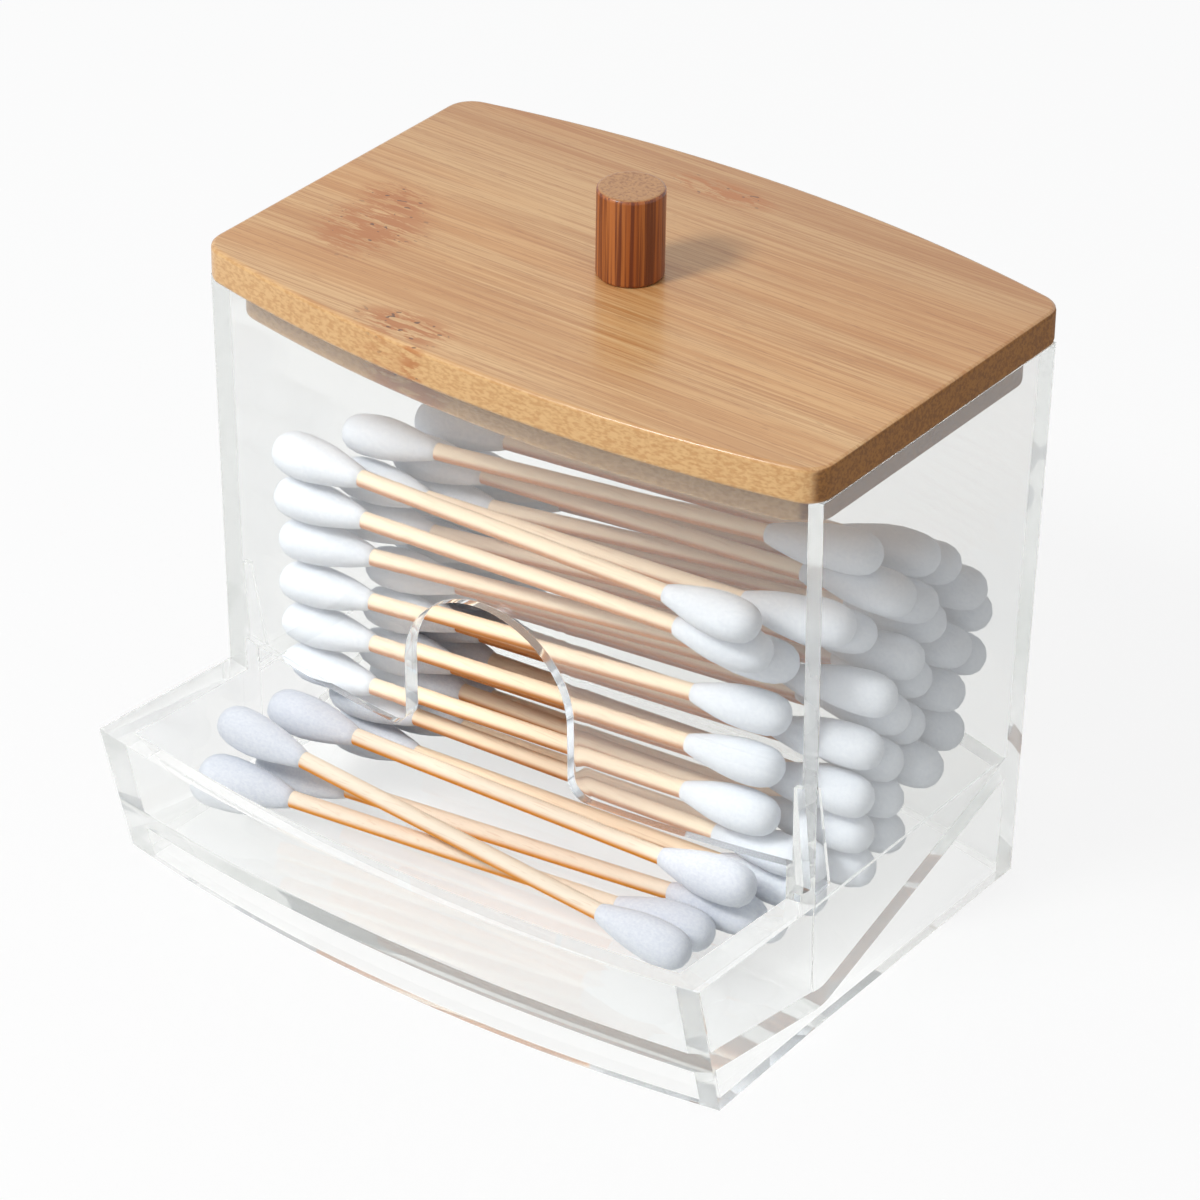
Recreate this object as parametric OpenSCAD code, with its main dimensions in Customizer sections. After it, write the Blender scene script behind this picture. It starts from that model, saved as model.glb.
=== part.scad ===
// Cotton swab holder: a clear moulded box with a front tray, a bamboo lid with a
// turned knob, and the swabs that lie in it. +X is the width, -Y the tray side, +Z up.
// Millimetres. Depths are measured from the front panel's rim, then centred.

/* [Clear body] */
// Width of the clear body over its side walls
body_w = 95; // [92:1:130]
// Height of the tall compartment's rim
body_h = 78; // [75:1:100]
// Depth of the tall compartment at its rim, corner to corner
comp_depth = 51; // [50:1:70]
// Thickness of the side walls
side_wall = 3; // [2:0.25:4]
// Thickness of the front panel
panel_wall = 2.5; // [2:0.25:3]
// Thickness of the back wall
back_wall = 2.5; // [2:0.25:3]
// How far the front panel bows forward between its corners
panel_bow = 5.7; // [4:0.1:8]
// How far the back wall bows back between its corners
back_bow = 5.7; // [4:0.1:8]
// How far the panel's foot lies behind its rim
panel_draft = 2.1; // [0.5:0.1:2.5]
// How far the back wall's foot lies ahead of its rim
back_draft = 2.8; // [0.5:0.1:3]
// Height of the panel's lower edge, over the tray
panel_edge_z = 24.5; // [23:0.5:28]

/* [Finger notch] */
// Width of the notch in the middle of the panel
notch_w = 26; // [18:1:34]
// Height of the notch's crown
notch_top = 48; // [44:1:54]
// Radius of the two corners below the notch
notch_corner_r = 3; // [1:0.5:5]

/* [Tray] */
// Depth of the tray's rim at its corners, ahead of the panel
tray_depth = 24; // [22:0.5:32]
// Height of the tray's rim where it meets the panel
tray_rim_h = 19.5; // [18.5:0.5:21]
// Rise of the rim from the panel to the tray's front corner
tray_rim_rise = 1.4; // [0.5:0.1:3]
// How far the front wall's foot is set back from its rim
tray_lean = 5.4; // [3:0.2:7]
// How far the tray's front wall bows forward
tray_bow = 4.8; // [3:0.1:8]
// Thickness of the tray's front wall
tray_wall = 2.8; // [2:0.2:3.4]
// Extra half width of the tray at its front corners
tray_flare = 0.6; // [0.2:0.1:1.2]

/* [Floor] */
// Thickness of the moulded floor
floor_t = 3; // [2:0.25:3.5]
// Height of the floor's valley, under the panel
valley_z = 4.2; // [4:0.1:5]
// Distance of the valley behind the panel's inner face
valley_back = 1.2; // [0.8:0.1:2]
// Radius of the valley
valley_r = 4; // [3.4:0.2:6]
// Slope of the ramp behind the valley, in degrees
ramp_slope = 18; // [15:0.5:20]
// Slope of the tray's floor, in degrees
tray_slope = 9.3; // [7:0.1:11]
// Radius of the cove from the ramp into the back wall
cove_r = 9; // [6:0.5:10]
// Step of the inner side faces below the rim line, and again in the tray
side_step = 0.4; // [0.2:0.05:0.6]
// Height of the rim line on the inner side faces
step_z = 17.6; // [16.4:0.2:18.4]

/* [Corner webs] */
// Thickness of the webs beside the panel's lower corners
web_t = 1.1; // [0.9:0.1:1.5]
// Depth of the webs at their foot
web_depth = 2.6; // [1.5:0.1:3]
// Height at which the webs run out
web_top = 35.5; // [31:0.5:42]

/* [Lid] */
// Thickness of the bamboo board
lid_t = 4.9; // [4:0.1:8]
// Depth of the rebated step below the board
plug_t = 5; // [3:0.5:6]
// Overhang of the board past the side walls
lid_over_side = 0.2; // [0.1:0.1:1.5]
// Overhang of the board past the panel and the back wall
lid_over_front = 1.3; // [0.5:0.1:3]
// Radius of the board's corners
lid_corner_r = 4; // [2:0.5:8]
// Radius of the step's corners
plug_corner_r = 3.5; // [2.5:0.5:6]
// Gap between the step and the walls round it
lid_clear = 0.8; // [0.4:0.1:1.2]

/* [Knob] */
// Diameter of the knob
knob_d = 8.8; // [7:0.2:14]
// Height of the knob above the board
knob_h = 12.2; // [10:0.2:20]
// Broken edge round the knob's end
knob_chamfer = 0.4; // [0.2:0.1:0.8]
// Diameter of the knob's screw
screw_d = 3; // [2.5:0.1:3.5]
// Diameter of the screw's countersunk head
screw_head_d = 6; // [5:0.2:7]
// Length of the screw inside the knob
screw_bite = 7; // [4:0.5:9]
// Width of the cross recess in the screw's head
screw_slot = 0.9; // [0.6:0.1:1.2]

/* [Swabs] */
// Length of one swab
swab_len = 75.5; // [72:0.5:77]
// Diameter of the wooden stick
stick_d = 2.3; // [2:0.1:2.6]
// Diameter of the cotton tip
tip_d = 5.9; // [5:0.1:6]
// Length of the cotton tip
tip_len = 14; // [12:0.5:16]
// Cotton beyond the stick's end
tip_nose = 1.6; // [1:0.1:2.5]
// Gap between neighbouring cotton tips
swab_gap = 0.12; // [0.08:0.01:0.15]

/* [Hidden] */
LAYERS = 8;
$fn = 64;
eps = 0.01;
// Longer than anything here, for cutting volumes
far = 400;

half_w = body_w / 2;
inner_half = half_w - side_wall;
low_half = inner_half - side_step;
tray_half = inner_half - 2 * side_step;
panel_lean = atan(panel_draft / body_h);
back_lean = atan(back_draft / body_h);
rim_tilt = atan(tray_rim_rise / tray_depth);
rim_mid_z = tray_rim_h + tan(rim_tilt) * (tray_depth + tray_bow);
tray_angle = atan(tray_lean / (tray_rim_h + tray_rim_rise));

// The part's box is centred on the origin: foremost is the tray's rim, rearmost the lid
front_y = -tray_depth - tray_bow;
rear_y = comp_depth + back_bow + lid_over_front;
mid_y = (front_y + rear_y) / 2;

// Radius of an arc from its half chord and its bow
function arc_r(half, bow) = (half * half + bow * bow) / (2 * bow);
panel_r = arc_r(half_w, panel_bow * cos(panel_lean));
back_r = arc_r(half_w, back_bow * cos(back_lean));
tray_r = arc_r(half_w + tray_flare, tray_bow * cos(tray_angle));
// Depth of each bowed wall's axis, at its reference height
panel_axis_y = -panel_bow + panel_r / cos(panel_lean);
back_axis_y = comp_depth + back_bow - back_r / cos(back_lean);
tray_axis_y = front_y + tray_r / cos(tray_angle);

// Inner faces of the panel and of the back wall beside the side walls, at a height
function panel_in_y(z) = panel_draft * (body_h - z) / body_h + panel_wall;
function back_in_y(z) = comp_depth - back_draft * (body_h - z) / body_h - back_wall;

// The floor's line seen from the side: tray floor, valley arc, ramp
valley_c = [panel_in_y(valley_z) + valley_back, valley_z + valley_r];
tray_end = valley_c + valley_r * [-sin(tray_slope), -cos(tray_slope)];
ramp_start = valley_c + valley_r * [sin(ramp_slope), -cos(ramp_slope)];
function tray_floor_z(y) = tray_end[1] + (tray_end[0] - y) * tan(tray_slope);
function ramp_z(y) = ramp_start[1] + (y - ramp_start[0]) * tan(ramp_slope);
function arc_points(c, r, a0, a1, n) =
    [for (i = [0:n]) let (a = a0 + (a1 - a0) * i / n) c + r * [sin(a), -cos(a)]];
function floor_line(drop) = concat(
    [[-far, tray_floor_z(-far) - drop / cos(tray_slope)]],
    arc_points(valley_c, valley_r + drop, -tray_slope, ramp_slope, 8),
    [[far, ramp_z(far) - drop / cos(ramp_slope)]]);

// The cove's centre: its arc touches the ramp and the back wall beside the side walls
cove_y = back_in_y(ramp_z(comp_depth)) - cove_r;
cove_z = ramp_z(cove_y) + cove_r / cos(ramp_slope);

// Everything within a bowed wall's face: a tilted cylinder through the wall's middle.
// The inset is the wall's thickness for an inner face, and 0 for the outer face.
module panel_side(inset) {
    translate([0, panel_axis_y, body_h])
        rotate([panel_lean, 0, 0])
            cylinder(r = panel_r - inset, h = far, center = true, $fn = 720);
}

module back_side(inset) {
    translate([0, back_axis_y, body_h])
        rotate([-back_lean, 0, 0])
            cylinder(r = back_r - inset, h = far, center = true, $fn = 720);
}

module tray_side(inset) {
    translate([0, tray_axis_y, rim_mid_z])
        rotate([tray_angle, 0, 0])
            cylinder(r = tray_r - inset, h = far, center = true, $fn = 720);
}

// The back wall's inner face with the cove at its foot, turned about the wall's axis
module coved_back(grow) {
    wall_r = back_r - back_wall + grow;
    r = cove_r + grow;
    arc = arc_points([wall_r - r, cove_z - body_h], r, ramp_slope + 4, 90, 10);
    foot_z = arc[0][1] - arc[0][0] * tan(ramp_slope + 4);
    translate([0, back_axis_y, body_h])
        rotate([-back_lean, 0, 0])
            rotate_extrude($fn = 720)
                polygon(concat([[0, foot_z]], arc, [[wall_r, far / 2], [0, far / 2]]));
}

module slab(half, z0, z1) {
    translate([-half, -far / 2, z0]) cube([2 * half, far, z1 - z0]);
}

// What lies above the floor's line lowered by an amount, as seen from the side
module above_floor(drop) {
    rotate([90, 0, 90])
        linear_extrude(height = 2 * body_w, center = true)
            polygon(concat(floor_line(drop), [[far, 2 * far], [-far, 2 * far]]));
}

module below_tray_rim() {
    translate([0, 0, tray_rim_h])
        rotate([-rim_tilt, 0, 0])
            translate([-far / 2, -far / 2, -far]) cube([far, far, far]);
}

module outer_form() {
    // Tall compartment
    intersection() {
        slab(half_w, 0, body_h);
        panel_side(0);
        back_side(0);
    }
    // Tray, which opens a little towards its front corners
    intersection() {
        tray_side(0);
        below_tray_rim();
        linear_extrude(height = 2 * tray_rim_h)
            polygon([
                for (s = [-1, 1], p = [[half_w, comp_depth / 2], [half_w, panel_draft],
                        [half_w + tray_flare, -tray_depth], [half_w + tray_flare, -2 * tray_depth]])
                    if (s < 0) [-p[0], p[1]],
                for (p = [[half_w + tray_flare, -2 * tray_depth], [half_w + tray_flare, -tray_depth],
                        [half_w, panel_draft], [half_w, comp_depth / 2]]) p]);
    }
}

module compartment_space() {
    intersection() {
        above_floor(0);
        coved_back(0);
        panel_side(panel_wall);
        union() {
            slab(inner_half, step_z, body_h + plug_t);
            slab(low_half, 0, step_z + eps);
        }
    }
}

module tray_space() {
    intersection() {
        above_floor(0);
        tray_side(tray_wall);
        translate([-tray_half, 2 * front_y, 0])
            cube([2 * tray_half, panel_in_y(step_z) - 2 * front_y, panel_edge_z]);
    }
}

// Outline of the notch, drawn on the panel: x and height
module notch_outline() {
    crown_z = notch_top - notch_w / 2;
    translate([0, crown_z]) circle(d = notch_w);
    translate([-notch_w / 2, panel_edge_z - notch_corner_r])
        square([notch_w, crown_z - panel_edge_z + notch_corner_r]);
    difference() {
        translate([-notch_w / 2 - notch_corner_r, panel_edge_z - notch_corner_r])
            square([notch_w + 2 * notch_corner_r, 2 * notch_corner_r]);
        for (s = [-1, 1])
            translate([s * (notch_w / 2 + notch_corner_r), panel_edge_z + notch_corner_r])
                circle(r = notch_corner_r);
    }
}

module finger_notch() {
    translate([0, panel_in_y(0), 0])
        rotate([90, 0, 0])
            linear_extrude(height = far / 4) notch_outline();
}

// Hollow underside: inside the skirt, and a floor's thickness below the floor
module under_space() {
    difference() {
        intersection() {
            slab(low_half, -floor_t, body_h);
            tray_side(tray_wall);
            back_side(back_wall);
        }
        intersection() {
            above_floor(floor_t);
            coved_back(floor_t);
        }
        translate([-far / 2, -far / 2, ramp_z(comp_depth)]) cube(far);
    }
}

// A thin web in each corner of panel and side wall, from its foot at the tray's rim
module corner_web(side) {
    foot_z = tray_rim_h + eps;
    sink = panel_wall / 2;
    x0 = inner_half - web_t;
    mirror([side < 0 ? 1 : 0, 0, 0])
        translate([x0, 0, 0])
            rotate([90, 0, 90])
                linear_extrude(height = web_t + side_wall / 2)
                    polygon([
                        [panel_in_y(foot_z) - sink, foot_z],
                        [panel_in_y(foot_z) + web_depth, foot_z],
                        [panel_in_y(web_top), web_top],
                        [panel_in_y(web_top) - sink, web_top]]);
}

module clear_body() {
    color("aliceblue", 0.4)
        union() {
            difference() {
                outer_form();
                compartment_space();
                tray_space();
                finger_notch();
                under_space();
            }
            corner_web(-1);
            corner_web(1);
        }
}

// An outline with straight sides and bowed ends, its corners rounded by true arcs.
// The ends are arcs concentric with the panel's and the back wall's at the rim.
module bowed_outline(half, front_r, rear_r, corner) {
    front_c = [0, panel_r - panel_bow];
    rear_c = [0, comp_depth + back_bow - back_r];
    difference() {
        intersection() {
            translate(front_c) circle(r = front_r, $fn = 720);
            translate(rear_c) circle(r = rear_r, $fn = 720);
            translate([-half, -far / 2]) square([2 * half, far]);
        }
        for (s = [-1, 1]) {
            bowed_corner(s, half, front_c, front_r, corner, -1);
            bowed_corner(s, half, rear_c, rear_r, corner, 1);
        }
    }
}

// The scrap outside one rounded corner
module bowed_corner(s, half, c, r, corner, end) {
    cx = half - corner;
    reach = sqrt((r - corner) * (r - corner) - cx * cx);
    centre = [s * cx, c[1] + end * reach];
    along = (centre - c) / (r - corner);
    difference() {
        polygon([
            centre,
            [s * (half + corner), centre[1]],
            [s * (half + corner), centre[1] + end * 2 * corner],
            centre + 2 * corner * along]);
        translate(centre) circle(r = corner);
    }
}

module lid_board() {
    plug_half = inner_half - lid_clear;
    color("burlywood")
        difference() {
            union() {
                translate([0, 0, body_h])
                    linear_extrude(height = lid_t)
                        bowed_outline(half_w + lid_over_side, panel_r + lid_over_front,
                            back_r + lid_over_front, lid_corner_r);
                translate([0, 0, body_h - plug_t])
                    linear_extrude(height = plug_t + eps)
                        bowed_outline(plug_half, panel_r - panel_wall - lid_clear,
                            back_r - back_wall - lid_clear, plug_corner_r);
            }
            screw_form();
        }
}

// Middle of the lid, where the knob stands
lid_mid_y = (comp_depth + back_bow - panel_bow) / 2;
screw_cone = (screw_head_d - screw_d) / 2;
screw_len = plug_t + lid_t + screw_bite;

// The screw's shank and countersunk head, from the step's underside up into the knob
module screw_form() {
    translate([0, lid_mid_y, body_h - plug_t]) {
        translate([0, 0, -eps]) cylinder(d = screw_head_d, h = eps);
        cylinder(d1 = screw_head_d, d2 = screw_d, h = screw_cone);
        cylinder(d = screw_d, h = screw_len - screw_d / 2);
        translate([0, 0, screw_len - screw_d / 2]) cylinder(d1 = screw_d, d2 = screw_d / 4, h = screw_d / 2);
    }
}

module lid_knob() {
    color("saddlebrown")
        difference() {
            translate([0, lid_mid_y, body_h + lid_t]) {
                cylinder(d = knob_d, h = knob_h - knob_chamfer);
                translate([0, 0, knob_h - knob_chamfer])
                    cylinder(d1 = knob_d, d2 = knob_d - 2 * knob_chamfer, h = knob_chamfer);
            }
            screw_form();
        }
}

module knob_screw() {
    reach = screw_head_d * 0.62;
    color("silver")
        difference() {
            intersection() {
                screw_form();
                translate([-far / 2, -far / 2, body_h - plug_t]) cube(far);
            }
            translate([0, lid_mid_y, body_h - plug_t])
                for (turn = [0, 90])
                    rotate([0, 0, turn])
                        translate([-reach / 2, -screw_slot / 2, -eps])
                            cube([reach, screw_slot, screw_cone * 0.8]);
        }
}

// Swabs. Each lies between two end points; the cotton covers both ends of its stick.
module along(a, b) {
    d = b - a;
    translate(a)
        rotate([0, acos(d[2] / norm(d)), atan2(d[1], d[0])])
            children();
}

module swab_stick(a, b) {
    along(a, b)
        translate([0, 0, tip_nose]) cylinder(d = stick_d, h = norm(b - a) - 2 * tip_nose, $fn = 24);
}

// Half outline of a cotton tip, from its nose at 0: an egg that thins onto the stick
function tip_r(h) =
    let (belly = 0.36 * tip_len, thin = stick_d / 2 + 0.25)
    h < belly
        ? tip_d / 2 * sqrt(1 - pow(1 - h / belly, 2))
        : thin + (tip_d / 2 - thin) * cos(90 * pow((h - belly) / (tip_len - belly), 1.3));
tip_outline = concat(
    [for (h = [0, 0.03, 0.12, 0.24, 0.36, 0.52, 0.68, 0.84, 1]) [tip_r(h * tip_len), h * tip_len]],
    [[stick_d / 2, tip_len], [stick_d / 2, tip_nose], [0, tip_nose]]);

module cotton_tip() {
    rotate_extrude($fn = 24) polygon(tip_outline);
}

module swab_tips(a, b) {
    along(a, b) cotton_tip();
    along(b, a) cotton_tip();
}

// A swab laid through two places on the cross sections at its ends, then slid along itself
function lay_swab(left, right, slide) =
    let (
        run = right[0] - left[0],
        climb = right[1] - left[1],
        reach = sqrt(swab_len * swab_len - run * run - climb * climb),
        d = [reach, run, climb] * slide / swab_len)
    [[-reach / 2, left[0], left[1]] + d, [reach / 2, right[0], right[1]] + d];

// The heap: layers parallel to the ramp. Each layer has its own number of swabs, a skew
// (how much further back its right ends lie), a fan (how the skew grows from swab to swab)
// and a start (how far its first swab stands off the panel).
layer_counts = [3, 5, 6, 6, 5, 4, 4, 2];
layer_skews = [4.5, 3.5, 5.5, 6.5, 8.5, 10, 4, 1];
layer_fans = [0.3, 0.4, 0.5, 0.35, 0.6, 0.9, 1, 9];
layer_starts = [3.2, 3, 0, 0.2, 0, 0.3, 0, 0.2];
layer_pitch = tip_d + swab_gap;
swab_step = layer_pitch * cos(ramp_slope) + 0.2;
side_play = low_half - 0.3 - swab_len / 2;

function layer_rise(k) = (tip_d / 2 + swab_gap + k * layer_pitch) / cos(ramp_slope);
function layer_front(k) = layer_starts[k]
    + max(valley_c[0] + 0.3 * valley_r,
        panel_in_y(ramp_z(valley_c[0]) + layer_rise(k)) + tip_d / 2 - 0.4);
// As many of the layer's swabs as the box has room for
function layer_room(k) =
    let (
        right_y = layer_front(k) + layer_skews[k],
        wall_y = back_in_y(min(body_h, ramp_z(comp_depth) + layer_rise(k))) - tip_d / 2 + 1.2)
    1 + floor((wall_y - right_y) / (swab_step + layer_fans[k]));

// Sideways slide, from 0 to 1 of the play: front swabs lie to the left, the others to the right
function drift(k, i) = let (n = (5 * k + i) * 0.618034) n - floor(n);
function heap_slide(k, i) =
    i == 0 && k > 1 ? -(side_play - web_t) * (0.5 + 0.5 * drift(k, i))
    : side_play * (i < 2 ? 0.1 + 0.8 * drift(k, i) : 0.55 + 0.45 * drift(k, i));

function heap_swab(k, i) =
    let (
        left_y = layer_front(k) + i * swab_step,
        right_y = left_y + layer_skews[k] + i * layer_fans[k])
    lay_swab(
        [left_y, ramp_z(left_y) + layer_rise(k)],
        [right_y, ramp_z(right_y) + layer_rise(k)],
        heap_slide(k, i));

function heap_layer(k) =
    [for (i = [0:min(layer_counts[k], layer_room(k)) - 1]) heap_swab(k, i)];

// The swabs in the tray. For the left and the right end: place behind the valley's centre,
// and lift off the tray's floor; then the slide as a share of the play.
tray_swabs = [
    [[-4.6, 7.4], [0.3, 6.8], -0.4],
    [[-8.6, 0.1], [3, 1.5], -0.3],
    [[-12.3, 6.5], [-10.5, -0.4], -0.8],
    [[-15.6, 0.1], [-2.9, 0.1], -0.92]];

function tray_place(t) =
    let (y = valley_c[0] + t[0])
    [y, tray_floor_z(y) + (tip_d / 2 + swab_gap) / cos(tray_slope) + t[1]];
tray_layer = [for (t = tray_swabs)
    lay_swab(tray_place(t[0]), tray_place(t[1]), t[2] * (side_play - side_step))];

module sticks_of(layer) {
    color("wheat") for (s = layer) swab_stick(s[0], s[1]);
}

module tips_of(layer) {
    color("white") for (s = layer) swab_tips(s[0], s[1]);
}

translate([0, -mid_y, 0]) {
    clear_body();
    lid_board();
    lid_knob();
    knob_screw();
    sticks_of(tray_layer);  // tray_swab_sticks
    tips_of(tray_layer);  // tray_swab_tips
    for (k = [1:LAYERS]) {
        sticks_of(heap_layer(k - 1));
        tips_of(heap_layer(k - 1));
    }
}
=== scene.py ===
# %% [markdown]
# # A clear box of cotton swabs
# The object is a moulded, see-through box. A tall compartment holds a heap of swabs, its floor
# slopes so that they roll forward under the front panel, and an open tray catches them. A bamboo
# lid with a small turned knob closes the top.
#
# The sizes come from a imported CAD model, which stays exactly where it is. This script gives each
# piece its finish, and remodels the pieces whose soft edges or fibres a CAD solid doesn't show.

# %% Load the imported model
import math

import bmesh
import bpy
from mathutils import Matrix, Vector, noise


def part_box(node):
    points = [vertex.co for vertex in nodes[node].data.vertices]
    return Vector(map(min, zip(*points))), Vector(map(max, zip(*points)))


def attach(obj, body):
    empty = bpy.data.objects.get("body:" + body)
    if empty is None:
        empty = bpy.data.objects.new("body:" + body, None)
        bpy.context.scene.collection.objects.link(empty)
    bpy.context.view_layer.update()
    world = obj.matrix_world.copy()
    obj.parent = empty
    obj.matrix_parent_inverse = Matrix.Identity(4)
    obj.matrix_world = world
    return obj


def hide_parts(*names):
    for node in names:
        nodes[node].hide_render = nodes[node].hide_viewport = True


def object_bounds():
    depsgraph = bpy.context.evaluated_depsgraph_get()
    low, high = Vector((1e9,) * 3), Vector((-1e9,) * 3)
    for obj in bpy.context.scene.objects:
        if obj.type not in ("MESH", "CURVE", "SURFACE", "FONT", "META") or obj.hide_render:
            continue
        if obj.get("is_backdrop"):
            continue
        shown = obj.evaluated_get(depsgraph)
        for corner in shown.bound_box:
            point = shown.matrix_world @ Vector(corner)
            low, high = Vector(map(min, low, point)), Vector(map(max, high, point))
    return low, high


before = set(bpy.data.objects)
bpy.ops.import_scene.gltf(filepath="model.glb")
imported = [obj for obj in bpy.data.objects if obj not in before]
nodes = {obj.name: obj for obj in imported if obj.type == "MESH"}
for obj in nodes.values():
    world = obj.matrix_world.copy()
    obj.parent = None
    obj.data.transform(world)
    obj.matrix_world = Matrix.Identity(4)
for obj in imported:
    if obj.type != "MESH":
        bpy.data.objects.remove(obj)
cad_box = [list(corner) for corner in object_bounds()]
MM = 0.001
print("CAD box in mm:", [[round(v / MM, 1) for v in corner] for corner in cad_box])

# %% [markdown]
# ## The camera
# The photograph was taken from the right, looking down by about 31 degrees, with a long lens from
# some distance, so parallel edges nearly stay parallel. A camera is aimed best by building its
# three axes: back towards the lens, right, and up. The last small turn about the view axis is the
# tilt at which the camera was held.

# %% Camera at the photograph's angle
azimuth, elevation, tilt = (math.radians(angle) for angle in (36.38, 31.38, 0.82))
look_at = Vector((0.1, 5.4, 37.4)) * MM
distance = 679 * MM

back = Vector((
    math.sin(azimuth) * math.cos(elevation),
    -math.cos(azimuth) * math.cos(elevation),
    math.sin(elevation)))
right = Vector((math.cos(azimuth), math.sin(azimuth), 0))
axes = Matrix((right, back.cross(right), back)).transposed()

camera = bpy.data.objects.new("camera", bpy.data.cameras.new("camera"))
camera.matrix_world = (
    Matrix.Translation(look_at + back * distance) @ axes.to_4x4() @ Matrix.Rotation(tilt, 4, "Z"))
camera.data.lens = 157.24
camera.data.sensor_width = 36
camera.data.clip_start = 0.01
bpy.context.scene.collection.objects.link(camera)
bpy.context.scene.camera = camera
print("camera", [round(v, 3) for v in camera.location])

# %% [markdown]
# ## Maths on sockets
# A procedural finish is mostly arithmetic on numbers that change over the surface. Wiring each sum
# by hand hides the idea, so this class wraps a node's output and lets it be used in a plain
# Python expression. Each operator adds one Math node. All other nodes come from one method.

# %% A socket that can be used in an expression
class Wire:
    def __init__(self, tree, socket=None):
        self.tree = tree
        self.socket = socket

    def node(self, kind, settings=None, values=None, out=0):
        """Adds a node: settings first, then the values or wires of its sockets by name or number."""
        made = self.tree.nodes.new(kind)
        for name, value in (settings or {}).items():
            setattr(made, name, value)
        for name, value in (values or {}).items():
            if isinstance(value, Wire):
                self.tree.links.new(value.socket, made.inputs[name])
            else:
                made.inputs[name].default_value = value
        return Wire(self.tree, made.outputs[out])

    def maths(self, operation, *values):
        return self.node("ShaderNodeMath", {"operation": operation}, dict(enumerate(values)))

    def __add__(self, other):
        return self.maths("ADD", self, other)

    def __sub__(self, other):
        return self.maths("SUBTRACT", self, other)

    def __rsub__(self, other):
        return self.maths("SUBTRACT", other, self)

    def __mul__(self, other):
        return self.maths("MULTIPLY", self, other)

    def __truediv__(self, other):
        return self.maths("DIVIDE", self, other)

    def __gt__(self, other):
        return self.maths("GREATER_THAN", self, other)

    def __abs__(self):
        return self.maths("ABSOLUTE", self)

    def __floor__(self):
        return self.maths("FLOOR", self)

    __radd__ = __add__
    __rmul__ = __mul__

    def within(self, least, most):
        above = self.maths("MAXIMUM", self, least)
        return above.maths("MINIMUM", above, most)

    def ramp(self, low, high):
        """0 below low, 1 above high, and a soft step between."""
        settings = {"interpolation_type": "SMOOTHSTEP"}
        return self.node("ShaderNodeMapRange", settings, {"Value": self, "From Min": low, "From Max": high})

    def mix(self, first, second):
        """The colour first where this wire is 0, and second where it is 1."""
        settings = {"data_type": "RGBA"}
        return self.node("ShaderNodeMix", settings, {0: self, 6: first, 7: second}, out=2)


# %% [markdown]
# ## Starting a finish
# Colours are picked from the photograph as screen values, but a shader works in linear light, so
# each is converted once, in Python. All patterns read Object coordinates in millimetres: every
# piece sits at the origin with its place in its mesh, so one pattern runs on from piece to piece.

# %% Colours, materials and coordinates
def screen(red, green, blue):
    """A colour as seen on the screen, 0 to 255, in the linear light that shaders use."""
    def linear(value):
        value /= 255
        return value / 12.92 if value <= 0.04045 else ((value + 0.055) / 1.055) ** 2.4
    return (linear(red), linear(green), linear(blue), 1)


def new_material(name):
    """An empty material, and a wire to add its nodes with."""
    material = bpy.data.materials.new(name)
    material.use_nodes = True
    material.node_tree.nodes.clear()
    return material, Wire(material.node_tree)


def finish_with(material, shader):
    output = material.node_tree.nodes.new("ShaderNodeOutputMaterial")
    material.node_tree.links.new(shader.socket, output.inputs["Surface"])
    return material


def spot_mm(wire, scale=(1, 1, 1)):
    """Object coordinates in millimetres, stretched by scale."""
    spot = wire.node("ShaderNodeTexCoord", out="Object")
    return wire.node("ShaderNodeMapping", None, {"Vector": spot, "Scale": tuple(s / MM for s in scale)})


def parts_of(vector):
    """The three numbers of a vector, as wires."""
    return [vector.node("ShaderNodeSeparateXYZ", None, {"Vector": vector}, out=axis) for axis in "XYZ"]


def facing(wire):
    """Which way the surface faces, as three numbers from -1 to 1."""
    return parts_of(wire.node("ShaderNodeTexCoord", out="Normal"))


def cloud(wire, scale, detail=3.0, rough=0.55):
    """Soft noise, 0 to 1. scale is how many blobs there are per millimetre along X, Y and Z."""
    return wire.node("ShaderNodeTexNoise", {"noise_dimensions": "3D"}, {
        "Vector": spot_mm(wire, scale), "Scale": 1.0, "Detail": detail, "Roughness": rough})


def principled(wire, **values):
    return wire.node("ShaderNodeBsdfPrincipled", None, values)


# %% [markdown]
# ## Bamboo
# The lid is a laminated bamboo board. Its grain runs along the width. Four things make bamboo look
# like bamboo: strips of slightly different tone, hair-fine fibres, short darker dashes where the
# sap vessels were cut, and here and there a reddish knot line where the cane had a joint.
# Noise stretched along X gives all of them. The ends of the board show end grain, which is darker
# and dotted, and the long bowed edge cuts the fibres at a slant, so it is speckled.

#
# A painted shade darkens the board towards the back, and painted light makes it paler towards the
# front. Each joint line is a patch with its middle in X and Y, half length and half width, in mm.

# %% Bamboo finish
JOINT_LINES = (
    (-33.5, 0.5, 8, 9), (-36, 9, 6, 4), (-13.5, -17.5, 8, 4), (-9.5, -25, 2.5, 6), (-4, 36.5, 9, 2.8))


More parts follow.
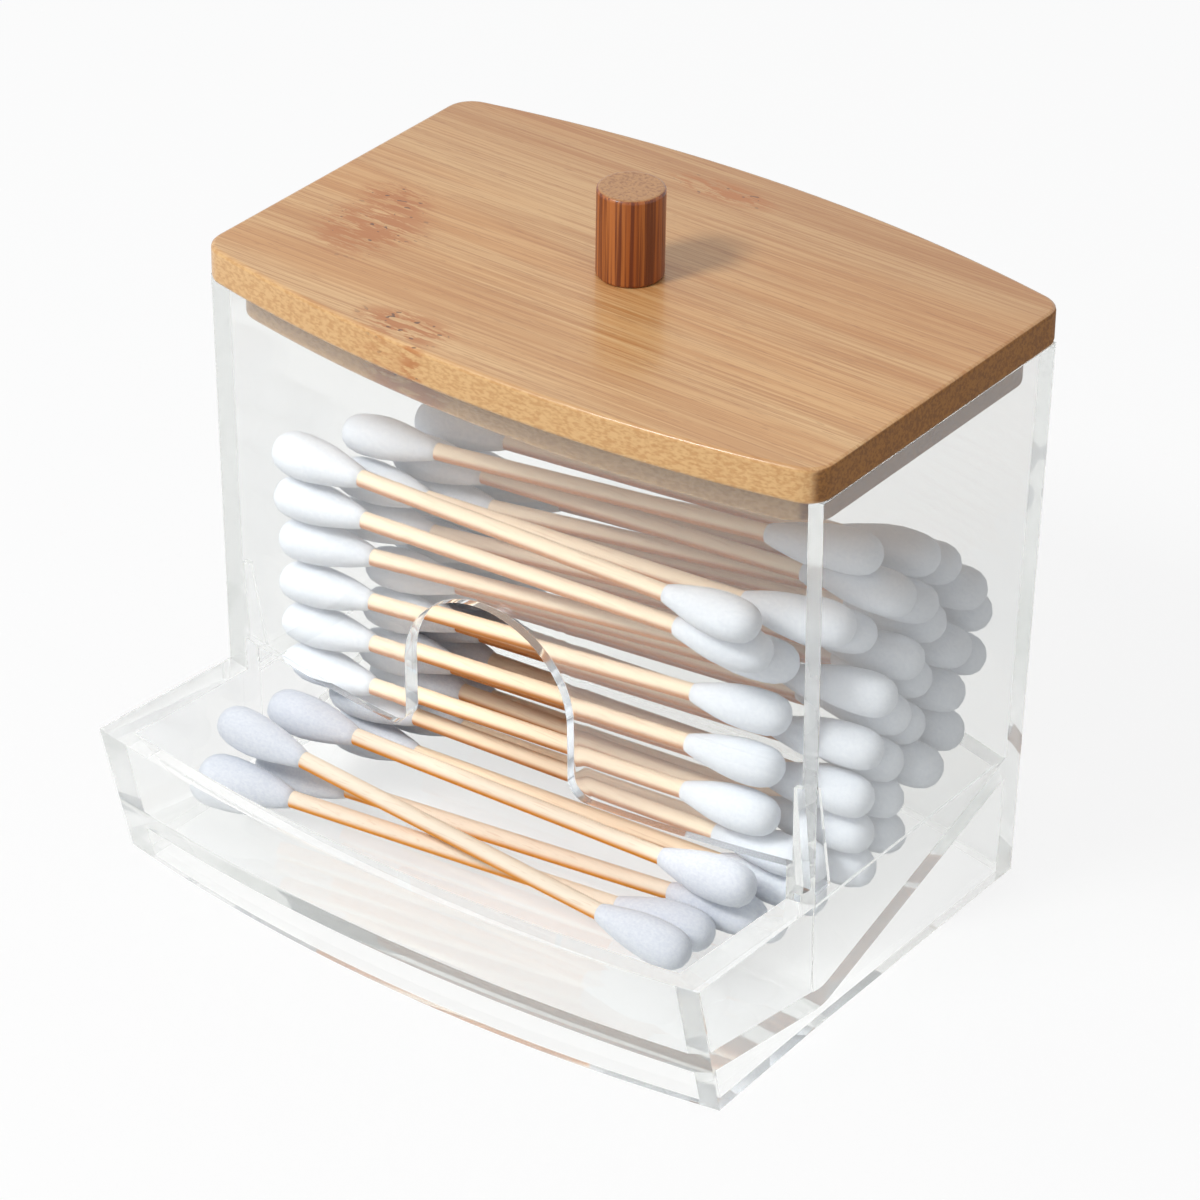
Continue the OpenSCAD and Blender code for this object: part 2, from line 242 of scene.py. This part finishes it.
def bamboo():
    material, wire = new_material("bamboo board")
    along, across, height = parts_of(spot_mm(wire))
    faces_end, faces_edge, faces_up = facing(wire)
    end_grain = abs(faces_end).ramp(0.6, 0.85)
    long_edge = abs(faces_edge).ramp(0.55, 0.8)

    strip = math.floor(across / 8.5 + cloud(wire, (0.01, 0.02, 0.02), detail=0) * 0.4)
    tone = wire.node("ShaderNodeTexWhiteNoise", {"noise_dimensions": "1D"}, {"W": strip})
    zones = cloud(wire, (0.011, 0.3, 0.3), detail=3)
    fibres = cloud(wire, (0.035, 2.3, 2.3), detail=4, rough=0.65)
    shade = zones * 0.35 + fibres * 0.58 + tone * 0.07
    colour = shade.ramp(0.38, 0.62).mix(screen(192, 137, 82), screen(224, 182, 128))

    warm = cloud(wire, (0.01, 0.11, 0.11), detail=2).ramp(0.42, 0.62)
    colour = (warm * 0.3).mix(colour, screen(204, 138, 70))
    # Painted shade towards the back of the board, then painted light towards its front.
    colour = (across.ramp(0, 45) * 0.32).mix(colour, screen(150, 92, 48))
    colour = ((1 - across.ramp(-40, 0)) * 0.35).mix(colour, screen(240, 208, 160))
    hairs = cloud(wire, (0.045, 3.2, 3.2), detail=2).ramp(0.52, 0.66)
    colour = (hairs * 0.42).mix(colour, screen(168, 106, 54))
    pores = cloud(wire, (0.35, 3.6, 3.6), detail=2).ramp(0.6, 0.72)
    colour = (pores * 0.35).mix(colour, screen(152, 94, 50))

    grit = cloud(wire, (1.1, 2.6, 2.6), detail=3).ramp(0.4, 0.62)
    slanted = (grit * 0.6 + fibres * 0.35).mix(screen(226, 184, 124), screen(190, 134, 70))
    colour = (long_edge * 0.8).mix(colour, slanted)

    flecks = cloud(wire, (0.2, 1.15, 1.15), detail=4, rough=0.7).ramp(0.44, 0.53)
    pits = cloud(wire, (0.7, 1.1, 1.1), detail=1).ramp(0.68, 0.71)
    for x, y, length, width in JOINT_LINES:
        from_x = (along - x) / length
        from_y = (across - y) / width
        near = 1 - (from_x * from_x + from_y * from_y).ramp(0.1, 1.3)
        colour = (near * flecks * 0.9).mix(colour, screen(180, 108, 46))
        colour = (near * pits * 0.85).mix(colour, screen(84, 54, 32))

    dots = cloud(wire, (2.4, 2.4, 2.4), detail=2).ramp(0.42, 0.6)
    ends = (dots * 0.5 + zones * 0.4).mix(screen(154, 102, 42), screen(98, 56, 16))
    colour = (end_grain * 0.95).mix(colour, ends)

    relief = fibres * 0.6 + hairs * 0.2 + dots * end_grain * 0.5
    bump = wire.node("ShaderNodeBump", None, {"Strength": 0.1, "Distance": 0.12 * MM, "Height": relief})
    shader = principled(wire, **{
        "Base Color": colour, "Roughness": 0.36 + fibres * 0.12 + end_grain * 0.3, "Normal": bump,
        "Coat Weight": 0.4 - end_grain * 0.4, "Coat Roughness": 0.16})
    return finish_with(material, shader)


# %% [markdown]
# ## The knob's wood
# The knob is a short turned rod of darker wood, with the grain upright. Seen from the side it has
# dark red-brown stripes of uneven width; its flat end shows the same stripes as dots and rings.

# %% Knob finish
def striped_wood():
    material, wire = new_material("knob wood")
    upward = facing(wire)[2].ramp(0.7, 0.95)
    stripes = cloud(wire, (1.5, 1.5, 0.02), detail=3, rough=0.7).ramp(0.42, 0.58)
    tint = cloud(wire, (0.35, 0.35, 0.02), detail=1)
    hairs = cloud(wire, (5, 5, 0.1), detail=2)
    pores = cloud(wire, (2.4, 2.4, 2.4), detail=3).ramp(0.45, 0.66)
    light = tint.ramp(0.35, 0.65).mix(screen(164, 84, 28), screen(190, 112, 50))
    side = (stripes * 0.8 + hairs * 0.2).mix(screen(98, 36, 8), light)
    end = (pores * 0.55 + stripes * 0.15).mix(screen(188, 138, 88), screen(140, 86, 46))
    colour = upward.mix(side, end)
    bump = wire.node("ShaderNodeBump", None, {"Strength": 0.15, "Distance": 0.1 * MM, "Height": hairs})
    shader = principled(wire, **{
        "Base Color": colour, "Roughness": 0.34 + hairs * 0.15, "Normal": bump,
        "Coat Weight": 0.25, "Coat Roughness": 0.2})
    return finish_with(material, shader)


# %% [markdown]
# ## The sticks and the cotton
# The sticks are pale birch. Their grain lies along them, and as all of them lie nearly along X,
# noise stretched along X is enough. Thin pale wood lets light in and bounces it to its neighbours,
# and each time it picks up more of the wood's colour. That warmth is painted in: the sides that
# look down, into the gaps, get a painted warm shade, brown in the heap and orange in the open tray.
#
# Cotton is white, rough, and soft at its surface. Fine crossed fibres in the bump and a weak sheen
# give it its softness.

# %% Finishes of the swabs
def stick_wood(name, top, gap_shade_colour):
    """Pale wood with a painted warm shade where it looks down."""
    material, wire = new_material(name)
    grain = cloud(wire, (0.05, 2.4, 2.4), detail=3, rough=0.65)
    dashes = cloud(wire, (0.16, 4, 4), detail=1).ramp(0.6, 0.72)
    # Painted shade: the sides that look down take a warm colour in place of the light bounced between
    # sticks.
    painted_gap_shade = 1 - facing(wire)[2].ramp(-0.3, 0.42)
    colour = grain.ramp(0.3, 0.7).mix(screen(*top), screen(*(value + 6 for value in top)))
    colour = (dashes * 0.2).mix(colour, screen(206, 150, 98))
    colour = painted_gap_shade.mix(colour, screen(*gap_shade_colour))
    bump = wire.node("ShaderNodeBump", None, {"Strength": 0.12, "Distance": 0.08 * MM, "Height": grain})
    shader = principled(wire, **{"Base Color": colour, "Roughness": 0.55 + grain * 0.15, "Normal": bump})
    return finish_with(material, shader)


def cotton():
    material, wire = new_material("cotton")
    strands = cloud(wire, (1.3, 4.5, 4.5), detail=4, rough=0.7)
    fluff = cloud(wire, (2.2, 2.2, 2.2), detail=3)
    colour = (strands * 0.5 + fluff * 0.5).ramp(0.3, 0.7).mix(screen(221, 226, 236), screen(235, 239, 245))
    relief = strands * 0.7 + fluff * 0.3
    bump = wire.node("ShaderNodeBump", None, {"Strength": 0.3, "Distance": 0.12 * MM, "Height": relief})
    shader = principled(wire, **{
        "Base Color": colour, "Roughness": 0.95, "Normal": bump,
        "Sheen Weight": 0.2, "Sheen Roughness": 0.5})
    return finish_with(material, shader)


# %% [markdown]
# ## Clear plastic
# The box is one thick clear moulding. A Principled shader with transmission bends the light at
# every wall, which gives the lines along its edges. Two kinds of light need help. A lamp's light
# can't find its way through bent glass, so for shadow rays the plastic is plainly see-through. And
# light that enters a wall near a corner is mirrored inside it from face to face, as in a light
# guide. A render gives such a ray up after a few turns, which leaves the edge black. So half of
# such a ray's light is let straight out at its second inner reflection, and all of it at the third.
# A small share of the shader stays plain white plastic, for the panel's faint haze.

# %% Clear plastic finish
def clear_plastic():
    material, wire = new_material("clear plastic")
    glass = principled(wire, **{
        "Base Color": (0.986, 0.991, 0.984, 1), "Roughness": 0.0, "IOR": 1.49,
        "Transmission Weight": 0.95})
    let_through = wire.node("ShaderNodeBsdfTransparent", None, {"Color": (0.91, 0.92, 0.91, 1)})
    shadow_ray = wire.node("ShaderNodeLightPath", out="Is Shadow Ray")
    inner_turns = wire.node("ShaderNodeLightPath", out="Glossy Depth")
    trapped = ((inner_turns - 1) * 0.5).within(0, 1)
    shader = wire.node("ShaderNodeMixShader", None, {
        0: (shadow_ray + trapped).within(0, 1), 1: glass, 2: let_through})
    return finish_with(material, shader)


def plated_steel():
    material, wire = new_material("plated steel")
    scuffs = cloud(wire, (2.5, 2.5, 2.5), detail=2)
    shader = principled(wire, **{
        "Base Color": screen(176, 178, 180), "Metallic": 1.0, "Roughness": 0.25 + scuffs * 0.2})
    return finish_with(material, shader)


finishes = {
    "bamboo": bamboo(),
    "knob_wood": striped_wood(),
    "cotton": cotton(),
    # The heap and the tray hold the same wood. The tray's copy is a lit copy: its paler top is painted
    # light, and the brighter orange in its gaps is painted shade.
    "stick_wood": stick_wood("stick wood", (248, 226, 196), (204, 130, 62)),
    "tray_stick_wood": stick_wood("stick wood in the tray", (249, 234, 212), (238, 150, 24)),
    "clear_plastic": clear_plastic(),
    "screw_steel": plated_steel()}
print("finishes:", ", ".join(finishes))

# %% [markdown]
# ## A soft edge on a CAD piece
# No moulded or sanded edge is perfectly sharp: the thin round on it is what catches the light. A
# CAD mesh comes as loose triangles, so a copy is merged first, flat areas are dissolved into single
# faces, and then only the edges that need it are bevelled. The copy stands in for its CAD node.
#
# Shading needs care too. Smooth shading bends a face's normals towards its neighbours', which is
# right on a round or on the strips of a bowed wall, but wrong on a flat wall: the clear box would
# bend the view through it like a lens. So wide faces stay flat, strips are smooth between
# themselves, and a round is smooth in itself but has a crease where it meets a wall.

# %% Copying and bevelling a CAD piece
MERGE_GAP = 0.002 * MM
FLAT_ANGLE = math.radians(0.4)
EDGE_ANGLE = math.radians(50)
WIDEST_STRIP = 6 * MM


def merged_copy(node):
    """A bmesh of a CAD node in which flat areas are single faces and nothing is selected."""
    shape = bmesh.new()
    shape.from_mesh(nodes[node].data)
    bmesh.ops.remove_doubles(shape, verts=shape.verts, dist=MERGE_GAP)
    bmesh.ops.dissolve_limit(shape, angle_limit=FLAT_ANGLE, verts=shape.verts, edges=shape.edges)
    for face in shape.faces:
        face.select = False
    return shape


def outer_edges(shape):
    """Edges that stick out and are sharp."""
    return [edge for edge in shape.edges
            if edge.is_convex and len(edge.link_faces) == 2
            and edge.calc_face_angle(0) > EDGE_ANGLE]


def soften(shape, edges, width, segments):
    """Rounds these edges, and leaves the faces of the rounds selected."""
    rounded = bmesh.ops.bevel(
        shape, geom=edges, offset=width, offset_type="OFFSET", affect="EDGES",
        segments=segments, profile=0.5, material=-1, clamp_overlap=True)
    for face in rounded["faces"]:
        face.select = True


def shade(shape, crease_angle):
    """Flat on wide faces, smooth on strips and rounds, with a crease at sharper edges."""
    for face in shape.faces:
        longest = max(edge.calc_length() for edge in face.edges)
        face.smooth = face.select or face.calc_area() < WIDEST_STRIP * longest
    for edge in shape.edges:
        rounds = [face.select for face in edge.link_faces]
        gentle = edge.calc_face_angle(0) < math.radians(crease_angle)
        edge.smooth = all(rounds) or (gentle and not any(rounds))


def make_piece(shape, name, slot, body, replaced, crease_angle=12):
    """Turns a bmesh into a finished piece that rides on a body and stands for CAD nodes."""
    shade(shape, crease_angle)
    mesh = bpy.data.meshes.new(name)
    shape.to_mesh(mesh)
    shape.free()
    mesh.materials.append(finishes[slot])
    piece = bpy.data.objects.new(name, mesh)
    bpy.context.scene.collection.objects.link(piece)
    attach(piece, body)
    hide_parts(*replaced)
    print(name, "has", len(mesh.polygons), "faces")


# %% [markdown]
# ## The clear box
# The box keeps its CAD shape. Its outward edges get a round of a fifth of a millimetre, as a
# polished mould leaves them. Fingers reach through the notch in the panel, so its edge is rounded
# more, and bends what is seen behind it like a lens.

# %% Clear box
NOTCH_HALF_WIDTH = 13.6 * MM
NOTCH_BACK = -8 * MM
NOTCH_FOOT = 22 * MM
NOTCH_TOP = 49 * MM
NOTCH_ROUND = 0.85 * MM
MOULD_ROUND = 0.2 * MM

box_shape = merged_copy("clear_body")


def on_notch(edge):
    """Whether both ends of an edge lie in the block of space round the notch."""
    return all(
        abs(v.co.x) < NOTCH_HALF_WIDTH and v.co.y < NOTCH_BACK and NOTCH_FOOT < v.co.z < NOTCH_TOP
        for v in edge.verts)


notch_edges = [edge for edge in outer_edges(box_shape) if on_notch(edge)]
print("edges round the notch:", len(notch_edges))
soften(box_shape, notch_edges, NOTCH_ROUND, 4)
plain_edges = [edge for edge in outer_edges(box_shape) if not on_notch(edge)]
soften(box_shape, plain_edges, MOULD_ROUND, 2)
make_piece(box_shape, "clear_box", "clear_plastic", "holder", ["clear_body"])

# %% [markdown]
# ## The lid
# The board's top and bottom edges are sanded round by about half a millimetre, and so is the edge
# of the step below it. The screw's hole keeps its sharp edge.

# %% Lid board
SCREW_SPACE = 12 * MM
LEVEL = 0.01 * MM
SANDED_ROUND = 0.55 * MM

lid_shape = merged_copy("lid_board")
low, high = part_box("lid_board")
middle_y = (low.y + high.y) / 2


def far_from_screw(edge):
    return all(math.hypot(v.co.x, v.co.y - middle_y) > SCREW_SPACE for v in edge.verts)


def is_level(edge):
    return abs(edge.verts[0].co.z - edge.verts[1].co.z) < LEVEL


rim_edges = [edge for edge in outer_edges(lid_shape) if far_from_screw(edge) and is_level(edge)]
soften(lid_shape, rim_edges, SANDED_ROUND, 3)
make_piece(lid_shape, "bamboo_lid", "bamboo", "lid", ["lid_board"])

# %% [markdown]
# ## The knob
# A turned knob is a round bar with its end edge broken on the lathe. It starts as one ring of
# points that is filled, extruded to its height, and bevelled at both ends.

# %% Knob
KNOB_SIDES = 64
KNOB_ROUND = 0.45 * MM

low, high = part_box("lid_knob")
knob_shape = bmesh.new()
bmesh.ops.create_circle(
    knob_shape, cap_ends=True, segments=KNOB_SIDES, radius=(high.x - low.x) / 2,
    matrix=Matrix.Translation(((low.x + high.x) / 2, (low.y + high.y) / 2, low.z)))
foot = knob_shape.faces[:]
raised = bmesh.ops.extrude_face_region(knob_shape, geom=foot)
top = [item for item in raised["geom"] if isinstance(item, bmesh.types.BMVert)]
bmesh.ops.translate(knob_shape, verts=top, vec=(0, 0, high.z - low.z))
bmesh.ops.recalc_face_normals(knob_shape, faces=knob_shape.faces)
soften(knob_shape, outer_edges(knob_shape), KNOB_ROUND, 4)
make_piece(knob_shape, "turned_knob", "knob_wood", "lid", ["lid_knob"])

# %% [markdown]
# ## The sticks stay, the cotton is remade
# A stick is a plain rod, so its CAD solid only needs its finish. Each stick is one island of its
# node's mesh, and the two ends of that island say where the cotton goes.

# %% Where each stick begins and ends
stick_nodes = sorted(name for name in nodes if "swab_sticks" in name)
for name in stick_nodes:
    for slot in nodes[name].material_slots:
        slot.material = finishes["tray_stick_wood" if name.startswith("tray") else "stick_wood"]
for slot in nodes["knob_screw"].material_slots:
    slot.material = finishes["screw_steel"]


def islands(shape):
    """The separate solids in a mesh, each as a list of its points."""
    waiting = set(shape.verts)
    while waiting:
        front = [waiting.pop()]
        island = []
        while front:
            point = front.pop()
            island.append(point)
            for edge in point.link_edges:
                other = edge.other_vert(point)
                if other in waiting:
                    waiting.remove(other)
                    front.append(other)
        yield island


def stick_ends(node):
    """The centres of both ends of each stick in a node, left end first."""
    shape = bmesh.new()
    shape.from_mesh(nodes[node].data)
    bmesh.ops.remove_doubles(shape, verts=shape.verts, dist=MERGE_GAP)
    ends = []
    for island in islands(shape):
        places = [point.co.copy() for point in island]
        middle = sum(places, Vector()) / len(places)
        left = [p for p in places if p.x < middle.x]
        right_side = [p for p in places if p.x >= middle.x]
        ends.append((sum(left, Vector()) / len(left), sum(right_side, Vector()) / len(right_side)))
    shape.free()
    return sorted(ends, key=lambda pair: tuple(pair[0]))


swabs = {name: stick_ends(name) for name in stick_nodes}
print("swabs:", sum(len(pairs) for pairs in swabs.values()))

# %% [markdown]
# ## A cotton tip
# Cotton is wound round the stick's end while it spins, so a tip is nearly a turned shape: a blunt
# nose, a belly at a third of its length and a long neck that thins onto the stick. Spinning a
# profile, given as radius and distance from the nose in mm, gives that shape. Then each tip is made
# a little different: its points, but for those next to the stick, are pushed in or out by a soft
# noise that winds round it, as the layers of cotton do.

# %% One tip, and all the tips of a node
TIP_NOSE = 1.6 * MM
TIP_PROFILE = (
    (0, 0), (1.0, 0.16), (1.8, 0.62), (2.42, 1.4), (2.8, 2.6), (2.93, 4.2), (2.9, 6.0),
    (2.68, 8.0), (2.3, 9.9), (1.88, 11.6), (1.5, 13.0), (1.22, 13.8), (0.9, 14.0), (0, 14.0))
TIP_SIDES = 22
NECK = 0.95


def add_tip(shape, nose, inward, seed):
    """Winds one cotton tip from its nose along the stick, and adds it to the shape."""
    tip = bmesh.new()
    size = 1 + 0.03 * math.sin(seed * 2.4)
    points = [tip.verts.new((r * size * MM, 0, h * MM)) for r, h in TIP_PROFILE]
    line = [tip.edges.new(pair) for pair in zip(points, points[1:])]
    bmesh.ops.spin(
        tip, geom=points + line, cent=(0, 0, 0), axis=(0, 0, 1), angle=math.tau,
        steps=TIP_SIDES, use_merge=True)
    bmesh.ops.remove_doubles(tip, verts=tip.verts, dist=0.001 * MM)
    bmesh.ops.recalc_face_normals(tip, faces=tip.faces)
    for point in tip.verts:
        r = math.hypot(point.co.x, point.co.y) / MM
        if r > NECK:
            turn = math.atan2(point.co.y, point.co.x)
            h = point.co.z / MM
            lump = noise.noise(Vector((seed * 7.1 + math.cos(turn), math.sin(turn), h * 0.22)))
            wind = math.sin(2 * turn + 0.55 * h + seed)
            push = 1 + 0.045 * lump + 0.008 * wind
            point.co.x *= push
            point.co.y *= push
    turn = inward.to_track_quat("Z", "Y").to_matrix().to_4x4()
    place = Matrix.Translation(nose) @ turn @ Matrix.Rotation(seed * 1.7, 4, "Z")
    bmesh.ops.transform(tip, matrix=place, verts=tip.verts)
    wound = bpy.data.meshes.new("one tip")
    tip.to_mesh(wound)
    tip.free()
    shape.from_mesh(wound)
    bpy.data.meshes.remove(wound)


def wind_tips(stick_node):
    """Makes the piece with both tips of every stick in a node."""
    shape = bmesh.new()
    for number, (left, right_end) in enumerate(swabs[stick_node]):
        inward = (right_end - left).normalized()
        seed = 3.7 * number + len(stick_node) + 11.3 * left.z / MM
        add_tip(shape, left - inward * TIP_NOSE, inward, seed)
        add_tip(shape, right_end + inward * TIP_NOSE, -inward, seed + 1.9)
    tips_node = stick_node.replace("sticks", "tips")
    name = "cotton_" + tips_node.replace("swab_tips", "tips").replace("tray_tips", "tray")
    make_piece(shape, name, "cotton", "holder", [tips_node], crease_angle=80)


for name in stick_nodes:
    wind_tips(name)

# %% [markdown]
# ## Floor and light
# The photograph is a product picture on pure white: one broad soft light from the front left, and
# fill from all round. The world gives the fill. To the camera, and to what is seen in or through
# the plastic, both the world and the floor are white. The floor still takes the object's shadow.

# %% Floor
FLOOR_HALF_WIDTH = 1.6
FLOOR_DROP = 0.02 * MM
FLOOR_GLOW = 0.85


def looked_at(wire):
    """1 for a ray from the camera, or one that metal or glass sends on, and 0 for light."""
    rays = [wire.node("ShaderNodeLightPath", out=name)
            for name in ("Is Camera Ray", "Is Glossy Ray", "Is Transmission Ray")]
    lights_up = wire.node("ShaderNodeLightPath", out="Diffuse Depth") > 0.5
    return (rays[0] + rays[1] + rays[2]).within(0, 1) * (1 - lights_up)


def pale_floor():
    material, wire = new_material("pale floor")
    paper = wire.node("ShaderNodeBsdfDiffuse", None, {"Color": (0.9, 0.9, 0.9, 1)})
    glow = wire.node("ShaderNodeEmission", None, {"Color": (1, 1, 1, 1), "Strength": 1.0})
    shader = wire.node("ShaderNodeMixShader", None, {0: looked_at(wire) * FLOOR_GLOW, 1: paper, 2: glow})
    return finish_with(material, shader)


floor_shape = bmesh.new()
bmesh.ops.create_grid(floor_shape, x_segments=1, y_segments=1, size=FLOOR_HALF_WIDTH)
floor_mesh = bpy.data.meshes.new("floor")
floor_shape.to_mesh(floor_mesh)
floor_shape.free()
floor_mesh.materials.append(pale_floor())
floor = bpy.data.objects.new("floor", floor_mesh)
floor.location.z = -FLOOR_DROP
bpy.context.scene.collection.objects.link(floor)
floor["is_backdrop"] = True
print("floor:", 2 * FLOOR_HALF_WIDTH, "m wide")

# %% [markdown]
# ## The sky
# The world has two brightnesses: a soft, slightly cool fill that lights the object, and the white
# that is seen. Which one a ray gets depends on where the ray comes from.

# %% World
FILL = 0.55

world = bpy.data.worlds.new("studio")
bpy.context.scene.world = world
world.use_nodes = True
world.node_tree.nodes.clear()
wire = Wire(world.node_tree)
fill = wire.node("ShaderNodeBackground", None, {
    "Color": (0.97, 0.985, 1, 1), "Strength": FILL})
white = wire.node("ShaderNodeBackground", None, {"Color": (1, 1, 1, 1), "Strength": 1.0})
sky = wire.node("ShaderNodeMixShader", None, {0: looked_at(wire), 1: fill, 2: white})
output = world.node_tree.nodes.new("ShaderNodeOutputWorld")
world.node_tree.links.new(sky.socket, output.inputs["Surface"])
print("world fill:", FILL)

# %% [markdown]
# ## The key light
# One square lamp stands to the front left, where the photograph's highlights and the knob's shadow
# say that it was. Its size sets how soft the shadow's edge is.

# %% Lamps
OBJECT_MIDDLE = Vector((0, 0, 40 * MM))


def softbox(name, azimuth_deg, elevation_deg, distance_m, size, power):
    """A square soft lamp that looks at the middle of the object."""
    a, e = math.radians(azimuth_deg), math.radians(elevation_deg)
    out = Vector((math.sin(a) * math.cos(e), -math.cos(a) * math.cos(e), math.sin(e)))
    lamp = bpy.data.lights.new(name, "AREA")
    lamp.shape = "SQUARE"
    lamp.size = size
    lamp.energy = power
    made = bpy.data.objects.new(name, lamp)
    made.matrix_world = (
        Matrix.Translation(OBJECT_MIDDLE + out * distance_m)
        @ out.to_track_quat("Z", "Y").to_matrix().to_4x4())
    bpy.context.scene.collection.objects.link(made)
    print(name, "lamp:", power, "W")


softbox("key", azimuth_deg=-23, elevation_deg=47, distance_m=1.0, size=0.2, power=5.5)

# %% [markdown]
# ## Measuring
# Both boxes are printed: the CAD model's box and the finished object's box. The finished
# object must lie inside the CAD model's box.

# %% Measure and finish
bpy.context.scene.view_settings.view_transform = "Standard"
seen_box = [list(corner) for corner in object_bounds()]
print("visual box in mm:", [[round(v / MM, 1) for v in corner] for corner in seen_box])
